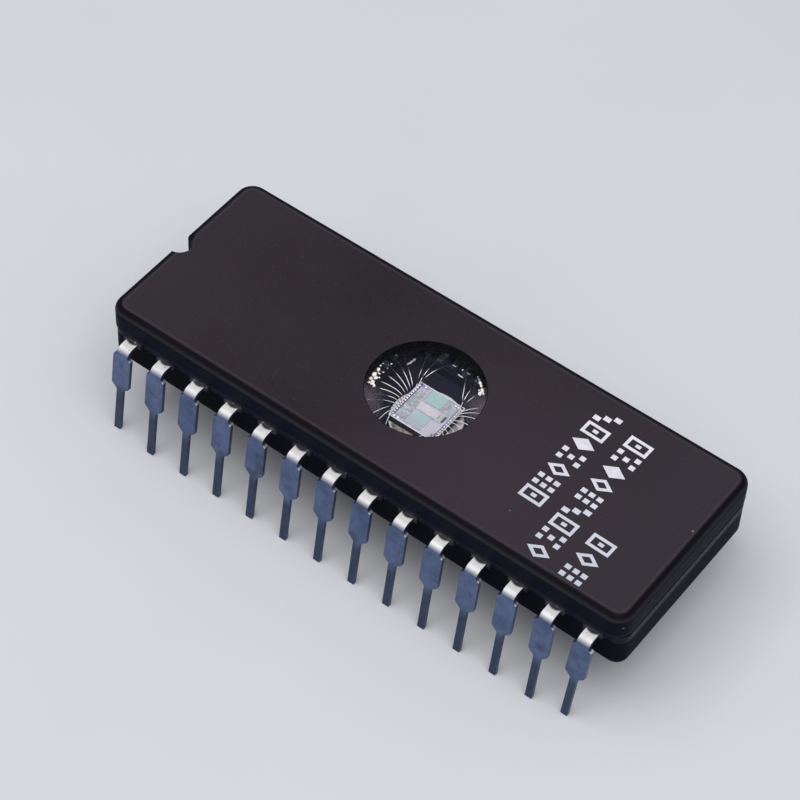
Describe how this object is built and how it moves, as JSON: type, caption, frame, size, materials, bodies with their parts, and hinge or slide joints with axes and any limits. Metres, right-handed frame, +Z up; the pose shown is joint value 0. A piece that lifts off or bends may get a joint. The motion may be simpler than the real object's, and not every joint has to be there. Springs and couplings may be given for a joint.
{
  "type": "windowed ceramic memory chip",
  "caption": "Dual in-line ceramic chip package with a round clear window over the die and two rows of bent through-hole leads.",
  "frame": {"origin": "in the plane of the lead tips, under the middle of the package", "axes": "+X from the notched end to the plain end, +Y to the rear lead row, +Z up through the window"},
  "size_m": [0.0366, 0.0168, 0.0089],
  "materials": {
    "base_ceramic": "black pressed ceramic, slightly glossy",
    "cap_ceramic": "dark brown-grey pressed ceramic, satin",
    "window_glass": "clear polished glass",
    "seal_glass": "dark glossy sealing glass",
    "attach_metal": "pale gold paste, matte",
    "silicon": "polished silicon with patterned fields",
    "wire": "bright drawn wire",
    "lead_metal": "tinned, satin bright"
  },
  "bodies": {
    "root": {"base": "base_ceramic", "cap": "cap_ceramic", "window": "window_glass", "seal_glass": "seal_glass", "die_attach": "attach_metal", "die": "silicon", "bond_wires_left": "wire", "bond_wires_right": "wire", "lead_01": "lead_metal", "lead_02": "lead_metal", "lead_03": "lead_metal", "lead_04": "lead_metal", "lead_05": "lead_metal", "lead_06": "lead_metal", "lead_07": "lead_metal", "lead_08": "lead_metal", "lead_09": "lead_metal", "lead_10": "lead_metal", "lead_11": "lead_metal", "lead_12": "lead_metal", "lead_13": "lead_metal", "lead_14": "lead_metal", "lead_15": "lead_metal", "lead_16": "lead_metal", "lead_17": "lead_metal", "lead_18": "lead_metal", "lead_19": "lead_metal", "lead_20": "lead_metal", "lead_21": "lead_metal", "lead_22": "lead_metal", "lead_23": "lead_metal", "lead_24": "lead_metal", "lead_25": "lead_metal", "lead_26": "lead_metal", "lead_27": "lead_metal", "lead_28": "lead_metal"}
  },
  "joints": []
}
